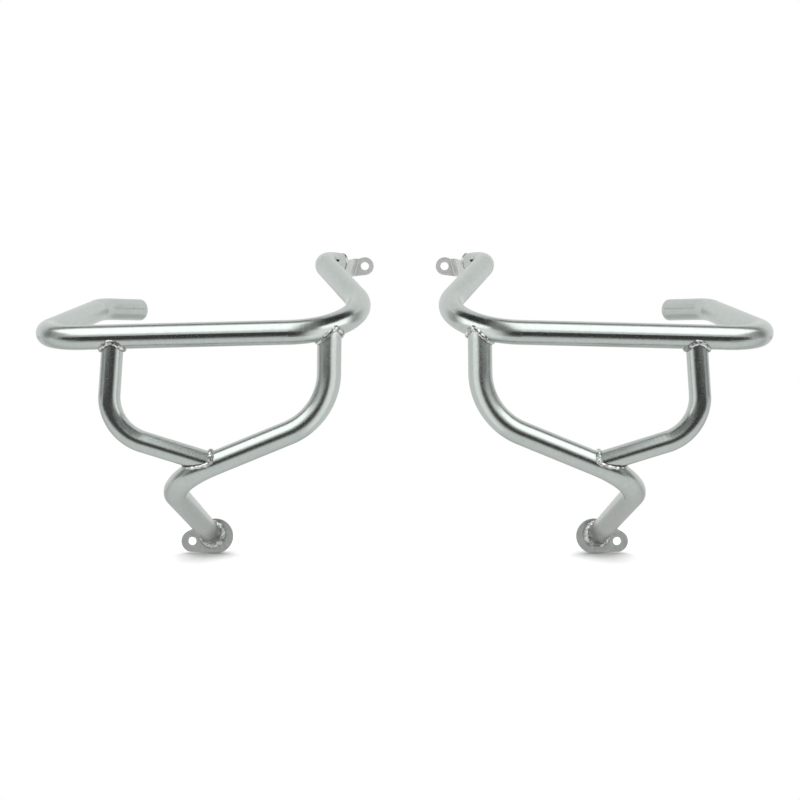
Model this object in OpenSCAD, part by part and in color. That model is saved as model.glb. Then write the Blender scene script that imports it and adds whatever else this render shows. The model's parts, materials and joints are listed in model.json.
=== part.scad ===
// A pair of motorcycle crash bars, left and right hand, as they stand on the machine.
// Origin: midway between the two lower bolt holes, on the rear mounting faces.
// X runs across the machine, the front run looks towards -Y, and Z is up.

/* [Tubes] */
// Outside diameter of the hoop tube
hoop_d = 25.4; // [25.2:0.1:27]
// Wall of the hoop and leg tubes
hoop_wall = 2; // [1.5:0.1:3]
// Outside diameter of the leg tube
leg_d = 25; // [23:0.1:25.1]
// Outside diameter of the brace tube
brace_d = 22.2; // [19:0.1:23]
// Wall of the brace tube
brace_wall = 2; // [1.5:0.1:3]

/* [Hoop] */
// How far the front run's axis stands ahead of the mounting faces
reach = 240; // [220:1:260]
// Distance of the closed rear tip from the centre plane
tip_x = 317.7; // [305:0.1:322]
// Height of the rear tip above the lower bolt holes
tip_z = 278; // [270:0.5:286]
// Distance of the rear corner from the centre plane
rear_corner_x = 355; // [350:1:360]
// How far the rear corner stands ahead of the mounting faces
rear_corner_y = 50; // [44:1:56]
// Height of the rear corner
rear_corner_z = 276.5; // [268:0.5:285]
// Distance of the outer front corner from the centre plane
outer_corner_x = 380.5; // [372:1:392]
// Height of the front run at its outer corner
outer_corner_z = 232.5; // [226:0.5:238]
// Distance of the inner front corner from the centre plane
inner_corner_x = 19.5; // [15:0.5:24]
// Height of the front run at its inner corner
inner_corner_z = 241.5; // [236:0.5:247]
// Distance of the upper corner from the centre plane
upper_corner_x = 98.8; // [95:0.1:103]
// How far the upper corner stands ahead of the mounting faces
upper_corner_y = 43; // [40:0.5:47]
// Height of the upper corner
upper_corner_z = 334.6; // [332:0.1:338]
// Straight length of the upper stub after its bend
stub_run = 1; // [1:0.5:4]
// How far the upper stub turns back from straight across, in degrees
stub_swing = 33; // [30:1:36]
// How steeply the upper stub falls towards the tab, in degrees
stub_fall = 7; // [5:1:9]
// Bend radius at the outer front corner
outer_bend_r = 45; // [42:1:48]
// Bend radius at the rear corner
rear_bend_r = 38; // [36:1:42]
// Bend radius at the inner front corner
inner_bend_r = 70; // [64:1:74]
// Bend radius at the upper corner
upper_bend_r = 31; // [28:1:34]
// How far the tip's dome stands out of the tube
dome_h = 6; // [4:0.5:8]
// Wall of the tip's dome
dome_wall = 2; // [1.5:0.1:3]
// Thickness of the disc that closes the upper stub
disc_t = 3; // [2.5:0.5:4]
// Radius of that disc's outer edge
disc_round = 2; // [1:0.1:2.3]

/* [Leg] */
// How far round the inner bend the leg is welded, in degrees
leg_angle = 36; // [30:0.5:38]
// Distance of the leg's upper corner from the centre plane
knee_x = 78.5; // [76:0.5:86]
// Height of the leg's upper corner
knee_z = 153; // [148:0.5:158]
// Distance of the leg's lower corner from the centre plane
ankle_x = 246; // [242:0.5:252]
// Height of the leg's lower corner
ankle_z = 84.5; // [80:0.5:89]
// Distance of the leg's foot from the centre plane
foot_x = 233; // [231:0.5:235]
// Height of the leg's foot
foot_z = 9; // [6:0.5:11]
// Bend radius at the leg's upper corner
knee_bend_r = 68; // [60:1:72]
// Bend radius at the leg's lower corner
ankle_bend_r = 55; // [48:1:57]

/* [Brace] */
// Distance of the brace's top from the centre plane
brace_top_x = 297.5; // [290:0.5:306]
// Distance of the brace's corner from the centre plane
brace_corner_x = 304.5; // [300:0.5:312]
// Height of the brace's corner
brace_corner_z = 138.5; // [132:0.5:144]
// How far the brace's corner stands behind the front run
brace_set = 3; // [0:0.5:6]
// Distance from the leg's lower corner up to the brace's foot
brace_foot_run = 53; // [50:0.5:62]
// How far the brace's foot stands ahead of the leg's axis
brace_lead = 1; // [0:0.1:1.2]
// Bend radius of the brace
brace_bend_r = 48; // [44:1:54]

/* [Mounts] */
// Distance of the lower bolt holes from the centre plane
lower_hole_x = 256; // [253:0.5:259]
// Distance of the upper bolt holes from the centre plane
upper_hole_x = 48; // [46:0.5:50]
// Height of the upper bolt holes above the lower ones
upper_hole_z = 331.5; // [329:0.5:333]
// Diameter of the four bolt holes
bolt_hole_d = 10; // [8:0.5:11]
// Thickness of the lower plate
plate_t = 5; // [4:0.5:6]
// Distance of the lower plate's round pad from the centre plane
pad_x = 228; // [226:0.5:230]
// Height of the lower plate's round pad
pad_z = 6; // [4:0.5:8]
// Diameter of the lower plate's round pad
pad_d = 42; // [38:0.5:46]
// Diameter of the lower plate's end round its hole
lug_d = 26; // [22:0.5:30]
// Thickness of the upper tab
tab_t = 5; // [4:0.5:6]
// Width of the upper tab round its hole
tab_w = 21; // [18:0.5:24]
// Width of the upper tab at its root
tab_root_w = 18; // [16:0.5:19]
// Distance from the upper hole to the middle of the tab's round root
tab_pitch = 16; // [15:0.5:17]
// How far the tab's root lies below its hole
tab_drop = 3.5; // [2:0.5:4.5]
// Distance from the upper hole to the fold beside it
tab_face = 11.5; // [11:0.5:12]
// Distance from the closing disc to the tab's first fold
tab_root_len = 11; // [10.5:0.5:11.5]
// Inside radius of the tab's folds
tab_fold_r = 2; // [1:0.5:3]
// Lean of the tab's folds from upright
tab_lean = 16; // [8:1:20]

/* [Welds] */
// Radius of the weld beads between the tubes
bead_r = 3.4; // [2.6:0.1:4]
// Middling radius of the weld bead round the leg's foot
foot_bead_r = 4.6; // [4:0.1:5]
// How much thicker that bead is on the side of the plate's pad than round about
foot_bead_extra = 1.4; // [0:0.1:1.6]
// Height of the ripples along a weld bead
ripple_h = 0.7; // [0.2:0.1:1]
// Radius of the weld between the tab's root and the closing disc
root_bead_r = 4; // [3.8:0.1:5]
// Length of that weld
root_bead_len = 13; // [11:0.5:15]
// Radius of the weld bead round the closing disc
seam_bead_r = 0.8; // [0.6:0.1:1.4]
// Diameter of the plug weld on the upper stub
plug_d = 7.6; // [6:0.1:9]
// How far the plug weld stands out of the tube
plug_h = 1.4; // [0.8:0.1:2]
// Distance of the plug weld from the closing disc
plug_set = 4; // [3:0.1:6]
// Height of the plug weld above the stub's axis
plug_rise = 3.9; // [2:0.1:6]

/* [Hidden] */
$fn = 48;
steel = [0.72, 0.74, 0.73];
plate_steel = [0.66, 0.69, 0.67];
weld_steel = [0.86, 0.88, 0.87];

// Room between the rear of the tip's tube and the mounting faces
tip_clear = 0.5;
tip_y = -(hoop_d / 2 + tip_clear);
// Longer than any piece that a cut has to reach through
beyond = 60;
// A bend comes out of the bender this much fuller than the straight tube, outside and inside
swell = 0.05;
// How far a straight reaches into the bend at its end
bend_lap = 0.2;
// How far the straight edges of the flat pieces lie inside the tangents of their round ends
edge_set = 0.05;
// How far a weld bead's corners stand off the skins, so that its flats don't cut into them
bead_lift = 0.02;

// Points where the straight stretches of each tube meet, and the bend radius at each
stub_way = [-cos(stub_fall) * cos(stub_swing), cos(stub_fall) * sin(stub_swing), -sin(stub_fall)];
inner_corner = [inner_corner_x, -reach, inner_corner_z];
upper_corner = [upper_corner_x, -upper_corner_y, upper_corner_z];
upper_turn = acos(unit(upper_corner - inner_corner) * stub_way);
stub_end = upper_corner + (upper_bend_r * tan(upper_turn / 2) + stub_run) * stub_way;
hoop_route = [
    [tip_x, tip_y, tip_z],
    [rear_corner_x, -rear_corner_y, rear_corner_z],
    [outer_corner_x, -reach, outer_corner_z],
    inner_corner,
    upper_corner,
    stub_end
];
hoop_bends = [0, rear_bend_r, outer_bend_r, inner_bend_r, upper_bend_r, 0];
front_run = 2;
inner_bend = 3;
upper_bend = 4;
stub = 4;

leg_top = bend_point(hoop_route, hoop_bends, inner_bend, leg_angle);
ankle = [ankle_x, leg_top.y, ankle_z];
knee = [knee_x, leg_top.y, knee_z];
foot = [foot_x, -plate_t, foot_z];
// The leg runs on past its foot, for the plate's face to trim it square to the plate
leg_route = [leg_top, knee, ankle, foot + leg_d * unit(foot - ankle)];
leg_bends = [0, knee_bend_r, ankle_bend_r, 0];
diagonal_run = 1;
foot_run = 2;
ankle_bend = 2;

brace_top_z = outer_corner_z + (inner_corner_z - outer_corner_z)
    * (outer_corner_x - brace_top_x) / (outer_corner_x - inner_corner_x);
brace_route = [
    [brace_top_x, -reach, brace_top_z],
    [brace_corner_x, brace_set - reach, brace_corner_z],
    ankle + brace_foot_run * unit(knee - ankle) - [0, brace_lead, 0]
];
brace_bends = [0, brace_bend_r, 0];

// The tab lies flat behind its hole, folds forward, and ends square on the closing disc
tab_axis_y = -tab_t / 2;
tab_bend_r = tab_fold_r + tab_t / 2;
tab_way = unit([stub_way.x, stub_way.y, 0]);
tab_root = [stub_end.x, stub_end.y, 0] + disc_t * tab_way;
// The strip starts behind the disc's face, which then trims it
tab_route = [
    tab_root - tab_w / 2 * tab_way,
    tab_root + tab_root_len * tab_way,
    [upper_hole_x + tab_face, tab_axis_y, 0],
    [upper_hole_x - tab_w, tab_axis_y, 0]
];
tab_bends = [0, tab_bend_r, tab_bend_r, 0];

// Directions and set-backs along a route
function unit(v) = v / norm(v);
function heading(route, i) = unit(route[i + 1] - route[i]);
function turn_at(route, i) =
    (i < 1 || i > len(route) - 2) ? 0 : acos(heading(route, i - 1) * heading(route, i));
function setback(route, bends, i) = bends[i] * tan(turn_at(route, i) / 2);
function inward(route, i) =
    let (u = heading(route, i - 1), v = heading(route, i)) unit(v - (u * v) * u);
function run_start(route, bends, i) = route[i] + setback(route, bends, i) * heading(route, i);
function run_end(route, bends, i) = route[i + 1] - setback(route, bends, i + 1) * heading(route, i);
function bend_centre(route, bends, i) = run_end(route, bends, i - 1) + bends[i] * inward(route, i);
function bend_point(route, bends, i, angle) =
    bend_centre(route, bends, i)
    + bends[i] * (sin(angle) * heading(route, i - 1) - cos(angle) * inward(route, i));

// Nearest point on a straight stretch and on a bend, each with the swell of the tube there
function near_run(route, bends, i, p) =
    let (
        a = run_start(route, bends, i),
        b = run_end(route, bends, i),
        t = (p - a) * (b - a) / ((b - a) * (b - a))
    )
    [a + min(1, max(0, t)) * (b - a), 0];
function near_turn(route, bends, i, p) =
    let (
        u = heading(route, i - 1),
        n = inward(route, i),
        centre = bend_centre(route, bends, i),
        q = p - centre,
        angle = min(turn_at(route, i), max(0, atan2(q * u, -q * n)))
    )
    [centre + bends[i] * (sin(angle) * u - cos(angle) * n), swell];
function nearest(route, bends, p) =
    let (
        all = [
            for (i = [0 : len(route) - 2]) near_run(route, bends, i, p),
            for (i = [1 : len(route) - 2]) near_turn(route, bends, i, p)
        ],
        far = [for (c = all) norm(p - c[0])]
    )
    all[search(min(far), far)[0]];

// Which way is out of a tube's skin, and the point of the skin nearest to a point.
// No route stands for the lower plate's front face.
function skin_way(route, bends, p) =
    route == [] ? [0, -1, 0] : unit(p - nearest(route, bends, p)[0]);
function on_skin(route, bends, radius, p) =
    let (c = route == [] ? 0 : nearest(route, bends, p))
    route == [] ? [p.x, -plate_t - bead_lift, p.z] : c[0] + (radius + c[1]) * unit(p - c[0]);

// Where a line leaves the skin of a tube, found by halving
function leaves(route, bends, radius, p, way, near, far, tries) =
    let (
        middle = (near + far) / 2,
        q = p + middle * way,
        c = nearest(route, bends, q)
    )
    tries == 0 ? q
        : norm(q - c[0]) < radius + c[1]
            ? leaves(route, bends, radius, p, way, middle, far, tries - 1)
            : leaves(route, bends, radius, p, way, near, middle, tries - 1);

// Spokes round a tube that leads away from a joint
function side_of(way) = unit(cross(way, [0, 1, 0]));
function spoke(way, angle) = cos(angle) * side_of(way) + sin(angle) * cross(way, side_of(way));

// Weld seams: where a tube of radius branch_r, led away from p, leaves another or a flat face
seam_steps = 48;
seam_angles = [for (i = [0 : seam_steps - 1]) i * 360 / seam_steps];
function tube_seam(route, bends, radius, p, way, branch_r) = [
    for (a = seam_angles)
        let (q = p + (branch_r + bead_lift) * spoke(way, a))
        leaves(route, bends, radius + bead_lift, q, way, 0, beyond, 24)
];
function face_seam(p, way, branch_r) = [
    for (a = seam_angles)
        let (q = p + (branch_r + bead_lift) * spoke(way, a))
        q + way * (p.y - bead_lift - q.y) / way.y
];

// Section of a bead at one step of its seam: up the branch's skin, over the crown, and back
// along the other skin. The radius ripples as the welder's dabs overlap.
ripples = 16;
section_points = 7;
function bead_section(route, bends, radius, seam, i, way, size) =
    let (
        p = seam[i],
        r = size - ripple_h * pow(cos(180 * ripples * i / seam_steps), 2),
        along = unit(seam[(i + 1) % seam_steps] - seam[(i + seam_steps - 1) % seam_steps]),
        out = skin_way(route, bends, p),
        down = unit(cross(along, out)),
        crown = unit(spoke(way, seam_angles[i]) + out)
    )
    [
        p,
        p + r * way,
        p + r * unit(way + crown),
        p + r * crown,
        p + r * unit(crown + down),
        on_skin(route, bends, radius + bead_lift, p + r * down),
        on_skin(route, bends, radius + bead_lift, p + r / 2 * down)
    ];

// A rippled bead along a seam on a tube of the given route and radius, or on the plate, with
// its size at each step
module bead(route, bends, radius, seam, way, sizes) {
    points = [
        for (i = [0 : seam_steps - 1])
            each bead_section(route, bends, radius, seam, i, way, sizes[i])
    ];
    faces = [
        for (i = [0 : seam_steps - 1])
            for (j = [0 : section_points - 1])
                let (
                    a = i * section_points + j,
                    b = i * section_points + (j + 1) % section_points,
                    c = ((i + 1) % seam_steps) * section_points + (j + 1) % section_points,
                    d = ((i + 1) % seam_steps) * section_points + j
                )
                each [[a, d, c], [a, c, b]]
    ];
    polyhedron(points, faces);
}

// Stands at a point on axes of its own, given as its X and Y
module on_axes(p, x, y) {
    z = cross(x, y);
    multmatrix([
        [x.x, y.x, z.x, p.x],
        [x.y, y.y, z.y, p.y],
        [x.z, y.z, z.z, p.z]
    ]) children();
}

// Stands at a point and looks along the given way, with its Y as upright as it can be
module facing(p, way) {
    side = unit(cross([0, 0, 1], way));
    on_axes(p, side, cross(way, side)) children();
}

// One straight stretch of a route, with the children as its section. It reaches a little way
// into the bends at its ends, and the last one is drawn from its far end back.
module run(route, bends, i) {
    way = heading(route, i);
    last = i == len(route) - 2;
    a = i == 0 ? route[0] : run_start(route, bends, i) - bend_lap * way;
    b = last ? route[i + 1] : run_end(route, bends, i) + bend_lap * way;
    facing(last ? b : a, last ? -way : way) linear_extrude(height = norm(b - a)) children();
}

// One bend of a route, with the children as its section
module turn(route, bends, i) {
    on_axes(bend_centre(route, bends, i), -inward(route, i), heading(route, i - 1))
        rotate_extrude(angle = turn_at(route, i))
            translate([bends[i], 0]) children();
}

// A whole route: the first child is the section of its straights, the second that of its bends
module sweep(route, bends) {
    for (i = [0 : len(route) - 2]) {
        run(route, bends, i) children(0);
    }
    for (i = [1 : len(route) - 2]) {
        turn(route, bends, i) children(1);
    }
}

module tube(route, bends, d, wall) {
    sweep(route, bends) {
        ring(d, wall);
        ring(d + 2 * swell, wall + 2 * swell);
    }
}

// Solid rods of a tube's outer size, for the cuts where other pieces fit round it
module run_rod(route, bends, i, d) {
    run(route, bends, i) circle(d = d);
}

module turn_rod(route, bends, i, d) {
    turn(route, bends, i) circle(d = d + 2 * swell);
}

module ring(d, wall) {
    difference() {
        circle(d = d);
        circle(d = d - 2 * wall);
    }
}

// All that lies behind the lower plate's front face
module behind_plate() {
    translate([pad_x - beyond, -plate_t, pad_z - beyond])
        cube([2 * beyond, beyond, 2 * beyond]);
}

// All that lies on the stub's side of the closing disc's outer face
module behind_disc() {
    at_stub_end() translate([0, 0, disc_t - beyond]) cylinder(h = beyond, r = beyond);
}

module at_stub_end() {
    facing(stub_end, stub_way) children();
}

// The main tube: rear tip, outer wrap, front run, inner bend, upper arm and stub
module hoop() {
    color(steel) tube(hoop_route, hoop_bends, hoop_d, hoop_wall);
}

// A pressed cap with a rolled edge that closes the rear tip
module tip_cap() {
    color(steel)
    facing(hoop_route[0], -heading(hoop_route, 0))
        rotate_extrude()
            polygon(concat(
                [[0, dome_h]],
                [for (a = [90 : -15 : 0]) cap_edge(hoop_d / 2, dome_h, a)],
                [for (a = [0 : 15 : 90]) cap_edge(hoop_d / 2 - dome_wall, dome_h - dome_wall, a)],
                [[0, dome_h - dome_wall]]
            ));
}
// One point of the cap's outline: a quarter round whose height is the dome's
function cap_edge(r, h, a) = [r - h + h * cos(a), h * sin(a)];

// The disc that closes the upper stub
module closing_disc() {
    color(plate_steel)
    at_stub_end()
        rotate_extrude()
            polygon(concat(
                [[0, 0]],
                [[hoop_d / 2, 0]],
                [for (a = [0 : 15 : 90]) [0, disc_t - disc_round] + cap_edge(hoop_d / 2, disc_round, a)],
                [[0, disc_t]]
            ));
}

// The down tube: coped under the inner bend, trimmed flat on the lower plate
module leg() {
    color(steel)
    difference() {
        tube(leg_route, leg_bends, leg_d, hoop_wall);
        turn_rod(hoop_route, hoop_bends, inner_bend, hoop_d);
        behind_plate();
    }
}

// The thinner tube between the front run and the leg, coped at both ends
module brace() {
    color(steel)
    difference() {
        tube(brace_route, brace_bends, brace_d, brace_wall);
        run_rod(hoop_route, hoop_bends, front_run, hoop_d);
        run_rod(leg_route, leg_bends, diagonal_run, leg_d);
        turn_rod(leg_route, leg_bends, ankle_bend, leg_d);
    }
}

// A flat piece of two round ends, along +X, and the straight edges between them
module two_rounds(big_d, small_d, pitch, height) {
    lean = asin((big_d - small_d) / 2 / pitch);
    cylinder(h = height, d = big_d);
    translate([pitch, 0, 0]) cylinder(h = height, d = small_d);
    linear_extrude(height = height)
        polygon([
            for (s = [1, -1]) each [
                for (end = s > 0 ? [0, 1] : [1, 0])
                    let (r = (end == 0 ? big_d : small_d) / 2 - edge_set)
                    [end * pitch + r * sin(lean), s * r * cos(lean)]
            ]
        ]);
}

// The flat lower plate: a round pad under the leg's foot and a lug with the bolt hole
module lower_plate() {
    pitch = norm([lower_hole_x - pad_x, pad_z]);
    color(plate_steel)
    translate([pad_x, 0, pad_z])
        rotate([90, 0, 0])
            rotate([0, 0, atan2(-pad_z, lower_hole_x - pad_x)])
                difference() {
                    two_rounds(pad_d, lug_d, pitch, plate_t);
                    translate([pitch, 0, -plate_t]) cylinder(h = 3 * plate_t, d = bolt_hole_d);
                }
}

// The upper tab before its ends are shaped: a flat strip with two leaning folds
module tab_strip() {
    translate([0, 0, upper_hole_z])
        translate([upper_hole_x, 0, 0])
            rotate([0, -tab_lean, 0])
                translate([-upper_hole_x, 0, 0])
                    sweep(tab_route, tab_bends) {
                        square([tab_t, 2 * tab_w], center = true);
                        square([tab_t + 2 * swell, 2 * (tab_w + swell)], center = true);
                    }
}

// The folded upper tab, round about its hole, welded on the closing disc
module upper_tab() {
    color(plate_steel)
    difference() {
        intersection() {
            tab_strip();
            translate([upper_hole_x, beyond, upper_hole_z])
                rotate([90, 0, 0])
                    rotate([0, 0, -asin(tab_drop / tab_pitch)])
                        two_rounds(tab_w, tab_root_w, tab_pitch, 2 * beyond);
        }
        behind_disc();
        translate([upper_hole_x, tab_t, upper_hole_z])
            rotate([90, 0, 0]) cylinder(h = 3 * tab_t, d = bolt_hole_d);
    }
}

even_sizes = [for (a = seam_angles) bead_r];

module hoop_leg_weld() {
    way = heading(leg_route, 0);
    color(weld_steel)
    bead(hoop_route, hoop_bends, hoop_d / 2,
        tube_seam(hoop_route, hoop_bends, hoop_d / 2, leg_top, way, leg_d / 2), way, even_sizes);
}

module hoop_brace_weld() {
    way = heading(brace_route, 0);
    color(weld_steel)
    bead(hoop_route, hoop_bends, hoop_d / 2,
        tube_seam(hoop_route, hoop_bends, hoop_d / 2, brace_route[0], way, brace_d / 2), way,
        even_sizes);
}

module brace_leg_weld() {
    way = -heading(brace_route, 1);
    color(weld_steel)
    bead(leg_route, leg_bends, leg_d / 2,
        tube_seam(leg_route, leg_bends, leg_d / 2, brace_route[2], way, brace_d / 2), way,
        even_sizes);
}

// The foot's bead is thickest towards the middle of the pad
module foot_weld() {
    way = unit(ankle - foot);
    thick_way = unit([pad_x - foot_x, 0, pad_z - foot_z]);
    color(weld_steel)
    bead([], [], 0, face_seam(foot, way, leg_d / 2), way,
        [for (a = seam_angles) foot_bead_r + foot_bead_extra * (spoke(way, a) * thick_way)]);
}

// The ring of weld round the seam between the stub and its closing disc
module disc_weld() {
    color(weld_steel)
    at_stub_end()
        difference() {
            rotate_extrude() translate([hoop_d / 2, 0]) circle(r = seam_bead_r);
            translate([0, 0, -beyond / 2]) cylinder(h = beyond, d = hoop_d);
        }
}

// The stout bead that bridges from the closing disc round the tab's root
module tab_weld() {
    root_low = -(tab_drop + (tab_root.x - upper_hole_x) * sin(tab_lean)) / cos(tab_lean);
    color(weld_steel)
    difference() {
        translate([upper_hole_x, 0, upper_hole_z])
            rotate([0, -tab_lean, 0])
                translate([tab_root.x - upper_hole_x, tab_root.y, root_low])
                    rotate_extrude()
                        polygon([
                            for (a = [-90 : 15 : 90])
                                [root_bead_r * cos(a), root_bead_len / 2 * sin(a)]
                        ]);
        upper_tab();
        behind_disc();
    }
}

// The low round button of weld that fills a vent hole in the front of the upper stub
module plug_weld() {
    place = leaves(hoop_route, hoop_bends, hoop_d / 2,
        stub_end - plug_set * stub_way + [0, 0, plug_rise], [0, -1, 0], 0, beyond, 24);
    color(weld_steel)
    difference() {
        facing(place, skin_way(hoop_route, hoop_bends, place))
            rotate_extrude()
                polygon(concat(
                    [[0, -plug_h], [plug_d / 2, -plug_h]],
                    [for (a = [0 : 15 : 90]) [plug_d / 2 * cos(a), plug_h * sin(a)]]
                ));
        turn_rod(hoop_route, hoop_bends, upper_bend, hoop_d);
        run_rod(hoop_route, hoop_bends, stub, hoop_d);
    }
}

module on_left() {
    mirror([1, 0, 0]) children();
}

module left_hoop() { on_left() hoop(); }
module left_tip_cap() { on_left() tip_cap(); }
module left_closing_disc() { on_left() closing_disc(); }
module left_leg() { on_left() leg(); }
module left_brace() { on_left() brace(); }
module left_lower_plate() { on_left() lower_plate(); }
module left_upper_tab() { on_left() upper_tab(); }
module left_hoop_leg_weld() { on_left() hoop_leg_weld(); }
module left_hoop_brace_weld() { on_left() hoop_brace_weld(); }
module left_brace_leg_weld() { on_left() brace_leg_weld(); }
module left_foot_weld() { on_left() foot_weld(); }
module left_disc_weld() { on_left() disc_weld(); }
module left_tab_weld() { on_left() tab_weld(); }
module left_plug_weld() { on_left() plug_weld(); }

left_hoop();
left_tip_cap();
left_closing_disc();
left_leg();
left_brace();
left_lower_plate();
left_upper_tab();
left_hoop_leg_weld();
left_hoop_brace_weld();
left_brace_leg_weld();
left_foot_weld();
left_disc_weld();
left_tab_weld();
left_plug_weld();
hoop();  // right_hoop
tip_cap();  // right_tip_cap
closing_disc();  // right_closing_disc
leg();  // right_leg
brace();  // right_brace
lower_plate();  // right_lower_plate
upper_tab();  // right_upper_tab
hoop_leg_weld();  // right_hoop_leg_weld
hoop_brace_weld();  // right_hoop_brace_weld
brace_leg_weld();  // right_brace_leg_weld
foot_weld();  // right_foot_weld
disc_weld();  // right_disc_weld
tab_weld();  // right_tab_weld
plug_weld();  // right_plug_weld
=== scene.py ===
"""Dresses the motorcycle crash bars: satin bead-blasted tube, plate and weld finishes, a pale
studio and the photograph's camera. Lengths are in metres, in the frame of the CAD model."""
import json
import math

import bpy
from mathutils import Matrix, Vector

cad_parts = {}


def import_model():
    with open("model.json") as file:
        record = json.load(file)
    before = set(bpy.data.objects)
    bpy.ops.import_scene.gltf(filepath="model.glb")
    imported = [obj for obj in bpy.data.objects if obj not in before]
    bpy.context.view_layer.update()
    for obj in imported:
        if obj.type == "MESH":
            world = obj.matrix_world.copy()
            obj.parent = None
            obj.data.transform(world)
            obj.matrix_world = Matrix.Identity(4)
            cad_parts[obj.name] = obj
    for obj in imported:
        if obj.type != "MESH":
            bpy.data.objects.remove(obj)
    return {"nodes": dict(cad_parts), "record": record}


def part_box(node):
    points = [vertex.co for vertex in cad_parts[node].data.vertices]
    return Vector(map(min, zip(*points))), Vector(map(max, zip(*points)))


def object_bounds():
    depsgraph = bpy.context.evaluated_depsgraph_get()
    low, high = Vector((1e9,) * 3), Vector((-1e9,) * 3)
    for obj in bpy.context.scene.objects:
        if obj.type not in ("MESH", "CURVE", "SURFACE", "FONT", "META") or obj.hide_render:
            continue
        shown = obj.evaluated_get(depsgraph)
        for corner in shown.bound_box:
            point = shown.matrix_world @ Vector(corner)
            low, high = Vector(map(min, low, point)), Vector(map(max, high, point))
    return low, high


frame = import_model()
CAD_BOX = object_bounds()
NODES = frame["nodes"]
FLOOR_Z = CAD_BOX[0][2]
FRONT_Y = CAD_BOX[0][1]

# Camera: level with the middle of the bars, straight in front of the centre plane
IMAGE_PX = 800
SENSOR_MM = 36
FOCAL_PX = 1274
CENTRE_COLUMN = 404.7
CAMERA_Y = -1.540
CAMERA_Z = 0.170
CLIP_START = 0.01


# Node helpers
CREVICE_SAMPLES = 8


def new_material(name):
    mat = bpy.data.materials.new(name)
    mat.use_nodes = True
    nodes = mat.node_tree.nodes
    nodes.clear()
    out = nodes.new("ShaderNodeOutputMaterial")
    return mat, mat.node_tree, out


def noise(tree, coords, scale, detail=3, rough=0.6):
    node = tree.nodes.new("ShaderNodeTexNoise")
    node.inputs["Scale"].default_value = scale
    node.inputs["Detail"].default_value = detail
    node.inputs["Roughness"].default_value = rough
    tree.links.new(coords, node.inputs["Vector"])
    return node.outputs["Fac"]


def ramp(tree, fac, low, high, low_value, high_value):
    """low_value up to low, high_value beyond high, and a straight change between."""
    node = tree.nodes.new("ShaderNodeMapRange")
    node.inputs["From Min"].default_value = low
    node.inputs["From Max"].default_value = high
    node.inputs["To Min"].default_value = low_value
    node.inputs["To Max"].default_value = high_value
    tree.links.new(fac, node.inputs["Value"])
    return node.outputs["Result"]


def blend_colour(tree, fac, dark, pale):
    """dark where fac is 0 and pale where it is 1. Each is a colour or another node's output."""
    node = tree.nodes.new("ShaderNodeMix")
    node.data_type = "RGBA"
    # Inputs 6 and 7 and output 2 are this node's colour sockets
    for socket, colour in ((node.inputs[6], dark), (node.inputs[7], pale)):
        if isinstance(colour, tuple):
            socket.default_value = (*colour, 1)
        else:
            tree.links.new(colour, socket)
    tree.links.new(fac, node.inputs[0])
    return node.outputs[2]


def bump(tree, height, depth):
    node = tree.nodes.new("ShaderNodeBump")
    node.inputs["Distance"].default_value = depth
    node.inputs["Strength"].default_value = 1.0
    tree.links.new(height, node.inputs["Height"])
    return node.outputs["Normal"]


def combine(tree, operation, first, second):
    node = tree.nodes.new("ShaderNodeMath")
    node.operation = operation
    tree.links.new(first, node.inputs[0])
    tree.links.new(second, node.inputs[1])
    return node.outputs[0]


def mix_shaders(tree, fac, first, second):
    node = tree.nodes.new("ShaderNodeMixShader")
    tree.links.new(fac, node.inputs[0])
    tree.links.new(first, node.inputs[1])
    tree.links.new(second, node.inputs[2])
    return node.outputs[0]


def crevice(tree, reach, deepest, open_at, tone):
    """1 in the open and tone at the bottom of a crevice, judged over a given reach. The finishes
    paint shade with it.
    """
    node = tree.nodes.new("ShaderNodeAmbientOcclusion")
    node.samples = CREVICE_SAMPLES
    node.inputs["Distance"].default_value = reach
    return ramp(tree, node.outputs["AO"], deepest, open_at, tone, 1)


def object_coords(tree):
    return tree.nodes.new("ShaderNodeTexCoord").outputs["Object"]


def along(tree, coords, axis):
    split = tree.nodes.new("ShaderNodeSeparateXYZ")
    tree.links.new(coords, split.inputs[0])
    return split.outputs[axis]


# Finishes. A noise's scale is about how many of its features fit in a metre, and its range is
# the part of the noise over which the look changes. A crease is the reach over which a crevice
# is judged, and how open it is where its painted shade is darkest and where it ends.
GRAIN_SCALE = 800
GRAIN_RANGE = (0.3, 0.7)
GRAIN_DEPTH = 0.00005
FINE_GRAIN_DEPTH = 0.00003
MOTTLE_SCALE = 190
MOTTLE_RANGE = (0.35, 0.65)
FOOT_PATCH_SCALE = 110
FOOT_PATCH_RANGE = (0.36, 0.62)
FOOT_PATCH_LEAST = 0.55
DAB_SCALE = 260
DAB_DEPTH = 0.0012
PATCH_SCALE = 150
PATCH_RANGE = (0.38, 0.6)
CREASE = (0.004, 0.38, 0.72)
FOLD_CREASE = (0.006, 0.45, 0.72)
WELD_CREASE = (0.0035, 0.35, 0.78)
# The colour of painted shade in creases and along the plug welds' lower edge
PAINTED_SHADE = (0.03, 0.03, 0.028)

# The steel is darker and browner near each foot weld, in patches: fully within the first distance
# from the weld's middle, and not at all beyond the second
DARKENED_FOOT_WELDS = [name for name in NODES if name.endswith("foot_weld")]
FOOT_DARK_FULL = 0.022
FOOT_DARK_END = 0.060
FOOT_DARK_BROWN = (0.26, 0.24, 0.21)

# The painted shade along the plug weld's lower edge ends between these shares of its height
PLUG_SHADE_FULL = 0.31
PLUG_SHADE_END = 0.40
PLUG_ROUGH = 0.3


def metal(name):
    mat, tree, out = new_material(name)
    shader = tree.nodes.new("ShaderNodeBsdfPrincipled")
    shader.inputs["Metallic"].default_value = 1.0
    tree.links.new(shader.outputs["BSDF"], out.inputs["Surface"])
    return mat, tree, shader, object_coords(tree)


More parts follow.
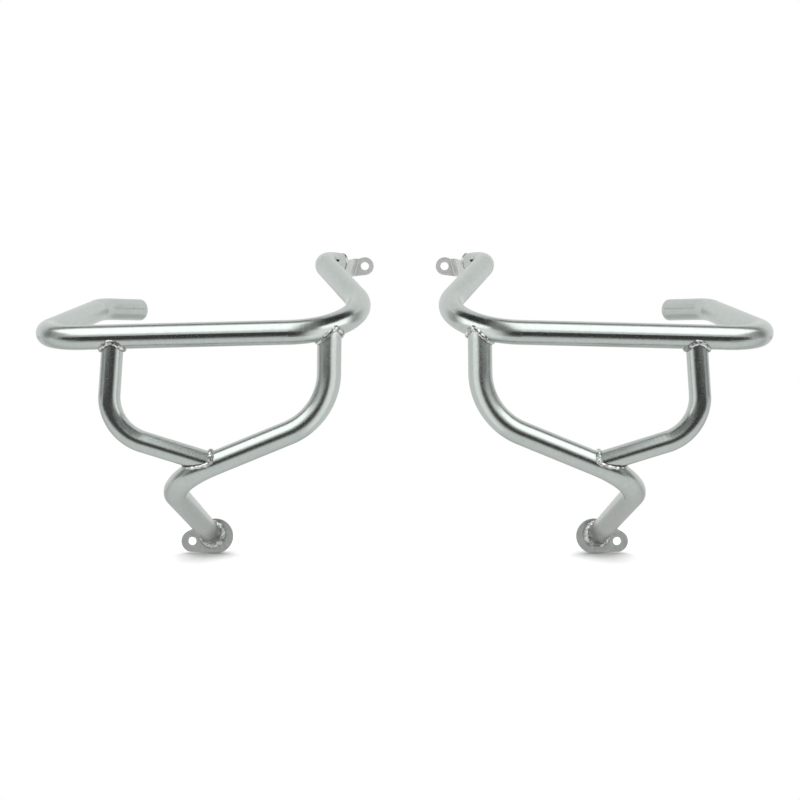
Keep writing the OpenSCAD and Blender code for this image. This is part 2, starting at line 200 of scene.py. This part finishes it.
def near_foot_welds(tree, coords):
    """1 at the middle of each foot weld, and 0 beyond the steel that is darkened near it."""
    heat = None
    for name in DARKENED_FOOT_WELDS:
        low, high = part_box(name)
        distance = tree.nodes.new("ShaderNodeVectorMath")
        distance.operation = "DISTANCE"
        distance.inputs[1].default_value = [(a + b) / 2 for a, b in zip(low, high)]
        tree.links.new(coords, distance.inputs[0])
        near = ramp(tree, distance.outputs["Value"], FOOT_DARK_FULL, FOOT_DARK_END, 1, 0)
        heat = near if heat is None else combine(tree, "MAXIMUM", heat, near)
    return heat


def satin_steel(name, dark, pale, rough, grain_depth, crease=CREASE, darker_at_feet=False):
    """Bead-blasted steel: a fine even grain in bump and gloss, a faint wider mottle in colour,
    painted shade in its creases, and where asked a darker brown near the foot welds."""
    mat, tree, shader, coords = metal(name)
    grain = noise(tree, coords, GRAIN_SCALE)
    mottle = noise(tree, coords, MOTTLE_SCALE)
    colour = blend_colour(tree, ramp(tree, mottle, *MOTTLE_RANGE, 0, 1), dark, pale)
    if darker_at_feet:
        # Darker brown in patches near the foot welds
        patchy = ramp(tree, noise(tree, coords, FOOT_PATCH_SCALE), *FOOT_PATCH_RANGE, FOOT_PATCH_LEAST, 1)
        foot_dark = combine(tree, "MULTIPLY", near_foot_welds(tree, coords), patchy)
        colour = blend_colour(tree, foot_dark, colour, FOOT_DARK_BROWN)
    # Painted shade: the colour goes dark in creases, where shade falls
    colour = blend_colour(tree, crevice(tree, *crease, 0), PAINTED_SHADE, colour)
    tree.links.new(colour, shader.inputs["Base Color"])
    tree.links.new(ramp(tree, grain, *GRAIN_RANGE, *rough), shader.inputs["Roughness"])
    tree.links.new(bump(tree, grain, grain_depth), shader.inputs["Normal"])
    return mat


def weld_metal(name, dark, pale, rough):
    """Bright weld metal: uneven dabs, dull patches and painted shade in its creases."""
    mat, tree, shader, coords = metal(name)
    dabs = noise(tree, coords, DAB_SCALE, detail=2, rough=0.5)
    patches = noise(tree, coords, PATCH_SCALE)
    colour = blend_colour(tree, ramp(tree, patches, *PATCH_RANGE, 0, 1), dark, pale)
    # Painted shade: the colour goes dark in the weld's creases, where shade falls
    colour = blend_colour(tree, crevice(tree, *WELD_CREASE, 0), PAINTED_SHADE, colour)
    tree.links.new(colour, shader.inputs["Base Color"])
    tree.links.new(ramp(tree, dabs, *GRAIN_RANGE, *rough), shader.inputs["Roughness"])
    tree.links.new(bump(tree, dabs, DAB_DEPTH), shader.inputs["Normal"])
    return mat


def plug_metal(name, tone, node):
    """A blasted plug weld with painted shade along its lower edge. Both plug welds are at the
    height of the one that is named."""
    mat, tree, shader, coords = metal(name)
    low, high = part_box(node)
    height = high[2] - low[2]
    # Painted shade: dark below a share of the plug's height, where its lower edge is in shade
    unshaded = ramp(tree, along(tree, coords, "Z"), low[2] + PLUG_SHADE_FULL * height,
                 low[2] + PLUG_SHADE_END * height, 0, 1)
    tree.links.new(blend_colour(tree, unshaded, PAINTED_SHADE, tone), shader.inputs["Base Color"])
    shader.inputs["Roughness"].default_value = PLUG_ROUGH
    grain = noise(tree, coords, GRAIN_SCALE, rough=0.5)
    tree.links.new(bump(tree, grain, FINE_GRAIN_DEPTH), shader.inputs["Normal"])
    return mat


TUBE = satin_steel("tube_satin", (0.555, 0.60, 0.575), (0.59, 0.635, 0.61), (0.21, 0.28),
                   GRAIN_DEPTH, darker_at_feet=True)
PLATE = satin_steel("plate_satin", (0.55, 0.58, 0.55), (0.67, 0.70, 0.67), (0.28, 0.36),
                    GRAIN_DEPTH)
# The tab is painted paler than the plate's steel: painted light for the brighter reflection its
# flat face lacks
TAB_PAINTED_LIGHT = satin_steel("tab_satin_painted_light", (0.66, 0.67, 0.66), (0.72, 0.73, 0.72), (0.36, 0.44),
                  FINE_GRAIN_DEPTH, FOLD_CREASE)
WELD = weld_metal("weld_bright", (0.31, 0.32, 0.305), (0.86, 0.885, 0.87), (0.12, 0.28))
PLUG = plug_metal("plug_satin", (0.60, 0.64, 0.615), "left_plug_weld")

FINISH = {"tube_steel": TUBE, "plate_steel": PLATE, "weld_steel": WELD}
SLOT = {part["node"]: part["material_slot"] for part in frame["record"]["subparts"]}


def finish_of(name):
    if name.endswith("plug_weld"):
        return PLUG
    if name.endswith("upper_tab"):
        return TAB_PAINTED_LIGHT
    return FINISH[SLOT[name]]


for name, obj in NODES.items():
    obj.data.materials.clear()
    obj.data.materials.append(finish_of(name))


# Studio


def sheet(name, corners):
    """A flat object with one face, with its corners in order round it."""
    mesh = bpy.data.meshes.new(name)
    mesh.from_pydata(corners, [], [tuple(range(len(corners)))])
    obj = bpy.data.objects.new(name, mesh)
    bpy.context.scene.collection.objects.link(obj)
    return obj


def card(name, corners, axis, low, high, low_tone, high_tone):
    """A studio card, seen only in reflections. Its tone shades along one axis, between two
    places on it."""
    obj = sheet(name, corners)
    mat, tree, out = new_material(name)
    mat.cycles.emission_sampling = "NONE"
    shader = tree.nodes.new("ShaderNodeEmission")
    place = along(tree, object_coords(tree), axis)
    tone = ramp(tree, place, low, high, low_tone, high_tone)
    tree.links.new(tone, shader.inputs["Strength"])
    tree.links.new(shader.outputs[0], out.inputs["Surface"])
    obj.data.materials.append(mat)
    obj.visible_camera = False
    obj.visible_diffuse = False
    obj.visible_shadow = False
    obj.visible_transmission = False


def even_card(name, corners, tone):
    card(name, corners, "Z", 0, 1, tone, tone)


def across(half, y, low, high):
    """Corners of an upright card that faces the bars from the front."""
    return [(-half, y, low), (half, y, low), (half, y, high), (-half, y, high)]


def central(front, rear, low, high):
    """Corners of an upright card on the centre plane."""
    return [(0, front, low), (0, rear, low), (0, rear, high), (0, front, high)]


def level(half, front, rear, z):
    """Corners of a level rectangle, as wide on one side of the centre plane as on the other."""
    return [(-half, front, z), (half, front, z), (half, rear, z), (-half, rear, z)]


# A dark mat on the floor in front of the bars and a dark card behind it stand for the
# photographer's side of a light tent. In the middle the dark reaches higher.
CARD_LOW = FLOOR_Z + 0.001
DARK = 0.025
PALE = 0.80
FRONT_HALF = 2.0
CARD_Y = FRONT_Y - 1.1
CARD_TOP = 0.46
CARD_SHADE = 0.22
MIDDLE_HALF = 0.42
MIDDLE_Y = CARD_Y + 0.01
MIDDLE_TOP = 0.40
MIDDLE_SHADE = 0.30
MAT_Y = FRONT_Y - 0.20
MAT_SHADE = 0.16
card("dark_card", across(FRONT_HALF, CARD_Y, CARD_LOW, CARD_TOP), "Z", CARD_SHADE, CARD_TOP,
     DARK, PALE)
card("dark_middle", across(MIDDLE_HALF, MIDDLE_Y, CARD_LOW, MIDDLE_TOP), "Z", MIDDLE_SHADE,
     MIDDLE_TOP, DARK, PALE)
card("dark_mat", level(FRONT_HALF, CARD_Y, MAT_Y, CARD_LOW), "Y", MAT_Y - MAT_SHADE, MAT_Y,
     DARK, PALE)

# The floor that the bars see is duller beneath them than in front and behind: a painted shadow on
# these cards, which are seen only in reflections
UNDER = 0.58
UNDER_FRONT = FRONT_Y + 0.02
UNDER_SHADE = 0.16
UNDER_REAR = 0.10
BEHIND_REAR = 3.0
BEHIND_SHADE = 0.25
card("under", level(FRONT_HALF, MAT_Y, UNDER_REAR, CARD_LOW), "Y", UNDER_FRONT,
     UNDER_FRONT + UNDER_SHADE, PALE, UNDER)
card("behind", level(FRONT_HALF, UNDER_REAR, BEHIND_REAR, CARD_LOW), "Y", UNDER_REAR,
     UNDER_REAR + BEHIND_SHADE, UNDER, PALE)

# Cards on the centre plane stand for each bar's own room beside it. Low down a pale one lights
# the inner side. Above it a white strip, a dark drape over that, and a grey curtain in front
# draw the streaks on the inner bend. Behind them all is white. The drape's rear edge leans back
# as it rises, then hangs straight.
TOP_Z = 1.6
TOP_REAR = FRONT_Y + 0.1
TOP_FRONT = -3.6
TOP_HALF = 2.2
INNER_FRONT = -0.60
INNER_SHADE = 0.26
INNER_BRIGHT = 1.1
INNER_MIDDLE = -0.26
INNER_REAR = 0.8
INNER_TOP = 0.245
CURTAIN = 0.22
CURTAIN_REAR = -0.36
CURTAIN_RISE = 0.1
REAR_WHITE = 0.86
STRIP_REAR = -0.215
STRIP_TOP = 0.298
STRIP_WHITE = 1.7
STRIP_FADE = 0.03
STRIP_DULL = 0.3
STRIP_RETURN = 0.04
DRAPE_LOW = -0.215
DRAPE_HIGH = -0.115
DRAPE_BEND = 0.60
DRAPE = 0.01
DRAPE_EDGE = [(0, DRAPE_LOW, STRIP_TOP), (0, DRAPE_HIGH, DRAPE_BEND), (0, DRAPE_HIGH, TOP_Z)]
card("inner_front", central(INNER_FRONT, INNER_MIDDLE, CARD_LOW, INNER_TOP), "Y", INNER_FRONT,
     INNER_FRONT + INNER_SHADE, DARK, INNER_BRIGHT)
even_card("inner_rear", central(INNER_MIDDLE, INNER_REAR, CARD_LOW, INNER_TOP), PALE)
card("curtain", central(TOP_FRONT, CURTAIN_REAR, INNER_TOP, TOP_Z), "Z", INNER_TOP, TOP_Z,
     CURTAIN, CURTAIN + CURTAIN_RISE)
card("white_strip", central(CURTAIN_REAR, STRIP_REAR, INNER_TOP, STRIP_TOP), "Y",
     STRIP_REAR - STRIP_FADE, STRIP_REAR, STRIP_WHITE, STRIP_DULL)
card("strip_end", central(STRIP_REAR, INNER_REAR, INNER_TOP, STRIP_TOP), "Y", STRIP_REAR,
     STRIP_REAR + STRIP_RETURN, STRIP_DULL, REAR_WHITE)
even_card("drape", DRAPE_EDGE + [(0, CURTAIN_REAR, TOP_Z), (0, CURTAIN_REAR, STRIP_TOP)], DRAPE)
even_card("rear_curtain", DRAPE_EDGE + [(0, INNER_REAR, TOP_Z), (0, INNER_REAR, STRIP_TOP)],
          REAR_WHITE)

# The ceiling shines in front, is dull above the bars and is pale behind them
TOP_RADIANCE = 1.75
TOP_FADE = 0.25
BACK = 0.2
BACK_FRONT = 0.3
BACK_SHADE = 0.3
card("top_card", level(TOP_HALF, TOP_FRONT, TOP_REAR, TOP_Z), "Y", TOP_REAR - TOP_FADE, TOP_REAR,
     TOP_RADIANCE, BACK)
card("back_card", level(TOP_HALF, TOP_REAR, BEHIND_REAR, TOP_Z), "Y", BACK_FRONT,
     BACK_FRONT + BACK_SHADE, BACK, REAR_WHITE)

LAMP_Z = TOP_Z + 0.01


def top_light():
    """The light that falls on the floor from the top card."""
    light = bpy.data.lights.new("top", "AREA")
    light.shape = "RECTANGLE"
    light.size = 2 * TOP_HALF
    light.size_y = TOP_REAR - TOP_FRONT
    light.energy = TOP_RADIANCE * math.pi * light.size * light.size_y
    obj = bpy.data.objects.new("top", light)
    bpy.context.scene.collection.objects.link(obj)
    obj.location = (0, (TOP_REAR + TOP_FRONT) / 2, LAMP_Z)
    obj.visible_camera = False
    obj.visible_glossy = False


top_light()

# The floor turns to the camera's white between these distances from the origin. Within a short
# reach of the feet a painted contact shadow darkens it.
FLOOR_HALF = 6.0
FLOOR_PAINT = 0.9
FLOOR_LIFT = 0.3
WHITE_NEAR = 0.30
WHITE_FAR = 0.75
CONTACT = (0.05, 0.5, 0.97)
CONTACT_TONE = 0.5


def floor():
    """White to the camera away from the bars, and diffuse white with shadows near them, deepened
    by a painted contact shadow near the feet.
    """
    obj = sheet("floor", level(FLOOR_HALF, -FLOOR_HALF, FLOOR_HALF, FLOOR_Z))
    mat, tree, out = new_material("floor_white")
    is_camera = tree.nodes.new("ShaderNodeLightPath").outputs["Is Camera Ray"]
    # Painted contact shadow: the floor's paint and its lift to the camera go dark near the feet
    contact = crevice(tree, *CONTACT, CONTACT_TONE)
    paint = tree.nodes.new("ShaderNodeBsdfDiffuse")
    tree.links.new(ramp(tree, contact, 0, 1, 0, FLOOR_PAINT), paint.inputs["Color"])
    lift = tree.nodes.new("ShaderNodeEmission")
    tree.links.new(combine(tree, "MULTIPLY", is_camera, contact), lift.inputs["Color"])
    lift.inputs["Strength"].default_value = FLOOR_LIFT
    lifted = tree.nodes.new("ShaderNodeAddShader")
    tree.links.new(paint.outputs[0], lifted.inputs[0])
    tree.links.new(lift.outputs[0], lifted.inputs[1])
    length = tree.nodes.new("ShaderNodeVectorMath")
    length.operation = "LENGTH"
    tree.links.new(object_coords(tree), length.inputs[0])
    far = ramp(tree, length.outputs["Value"], WHITE_NEAR, WHITE_FAR, 0, 1)
    white = tree.nodes.new("ShaderNodeEmission")
    seen = mix_shaders(tree, combine(tree, "MULTIPLY", far, is_camera), lifted.outputs[0],
                       white.outputs[0])
    tree.links.new(seen, out.inputs["Surface"])
    obj.data.materials.append(mat)


floor()

# The room's tone all round, as the place from front (0) to rear (1) and the grey there
ROOM_FRONT = (0.0, 0.85)
ROOM_SIDE = (0.52, 0.19)
ROOM_REAR = (0.72, 0.88)


def grey(tone):
    return (tone, tone, tone, 1)


def room_tones(tree, depth):
    node = tree.nodes.new("ShaderNodeValToRGB")
    stops = node.color_ramp.elements
    for stop, (place, tone) in ((stops[0], ROOM_FRONT), (stops[1], ROOM_REAR)):
        stop.position = place
        stop.color = grey(tone)
    side = stops.new(ROOM_SIDE[0])
    side.color = grey(ROOM_SIDE[1])
    tree.links.new(depth, node.inputs[0])
    return node.outputs["Color"]


def world():
    """White to the camera. To the bars it is pale in front and behind, and greyer at the sides."""
    studio = bpy.data.worlds.new("studio")
    bpy.context.scene.world = studio
    studio.use_nodes = True
    tree = studio.node_tree
    tree.nodes.clear()
    out = tree.nodes.new("ShaderNodeOutputWorld")
    direction = tree.nodes.new("ShaderNodeTexCoord").outputs["Generated"]
    depth = ramp(tree, along(tree, direction, "Y"), -1, 1, 0, 1)
    is_camera = tree.nodes.new("ShaderNodeLightPath").outputs["Is Camera Ray"]
    room = tree.nodes.new("ShaderNodeBackground")
    tree.links.new(room_tones(tree, depth), room.inputs["Color"])
    white = tree.nodes.new("ShaderNodeBackground")
    white.inputs["Color"].default_value = grey(1)
    seen = mix_shaders(tree, is_camera, room.outputs[0], white.outputs[0])
    tree.links.new(seen, out.inputs["Surface"])


world()


def camera():
    data = bpy.data.cameras.new("camera")
    data.sensor_width = SENSOR_MM
    data.lens = FOCAL_PX / IMAGE_PX * SENSOR_MM
    data.shift_x = (IMAGE_PX / 2 - CENTRE_COLUMN) / IMAGE_PX
    data.clip_start = CLIP_START
    obj = bpy.data.objects.new("camera", data)
    bpy.context.scene.collection.objects.link(obj)
    obj.location = (0, CAMERA_Y, CAMERA_Z)
    obj.rotation_euler = (math.radians(90), 0, 0)
    bpy.context.scene.camera = obj


camera()
bpy.context.scene.view_settings.view_transform = "Standard"

bpy.context.view_layer.update()
